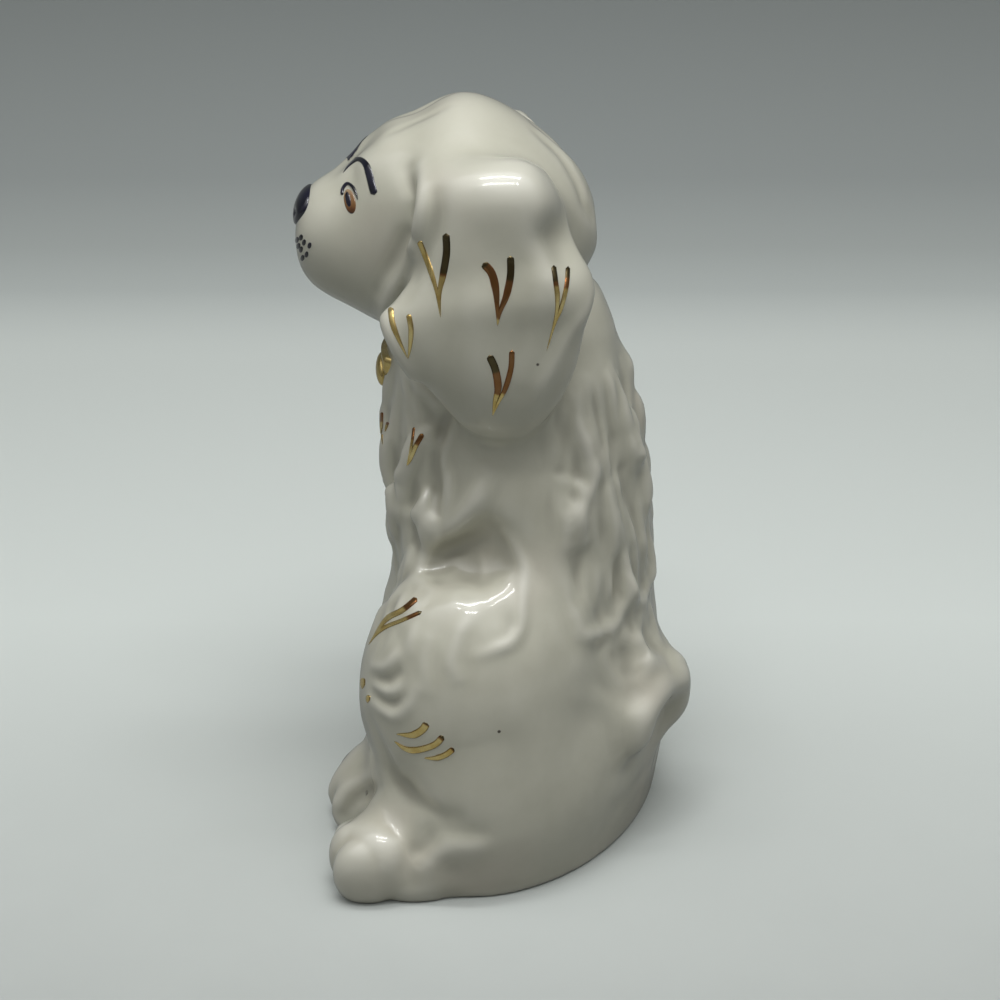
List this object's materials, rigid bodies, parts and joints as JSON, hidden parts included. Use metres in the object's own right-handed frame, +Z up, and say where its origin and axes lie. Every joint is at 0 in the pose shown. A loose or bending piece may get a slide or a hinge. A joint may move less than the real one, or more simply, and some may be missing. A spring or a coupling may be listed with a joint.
{
  "type": "seated spaniel mantel ornament",
  "caption": "Seated pottery spaniel with its head turned, long hanging ears, curled tail, collar and padlock, white glazed with brushed gilt tufts and a painted face.",
  "frame": {"origin": "on the table, under the middle of the figure's outline", "axes": "+Z up; the dog looks along -Y, its left side is towards +X, and the tail is at the back, towards +Y"},
  "size_m": [0.0784, 0.0736, 0.14],
  "materials": {
    "white_glaze": "gloss",
    "bare_clay": "matte",
    "gilding": "polished",
    "black_enamel": "gloss",
    "brown_enamel": "gloss"
  },
  "bodies": {
    "root": {"body": "white_glaze", "head": "white_glaze", "left_ear": "white_glaze", "right_ear": "white_glaze", "left_foreleg": "white_glaze", "right_foreleg": "white_glaze", "left_hind_foot": "white_glaze", "right_hind_foot": "white_glaze", "tail": "white_glaze", "base_slab": "bare_clay", "collar": "gilding", "padlock": "gilding", "left_ear_gilding": "gilding", "right_ear_gilding": "gilding", "chest_gilding": "gilding", "haunch_gilding": "gilding", "left_iris": "brown_enamel", "left_pupil": "black_enamel", "left_lid": "black_enamel", "left_brow": "black_enamel", "left_whisker_dots": "black_enamel", "right_iris": "brown_enamel", "right_pupil": "black_enamel", "right_lid": "black_enamel", "right_brow": "black_enamel", "right_whisker_dots": "black_enamel", "nose": "black_enamel"}
  },
  "joints": []
}
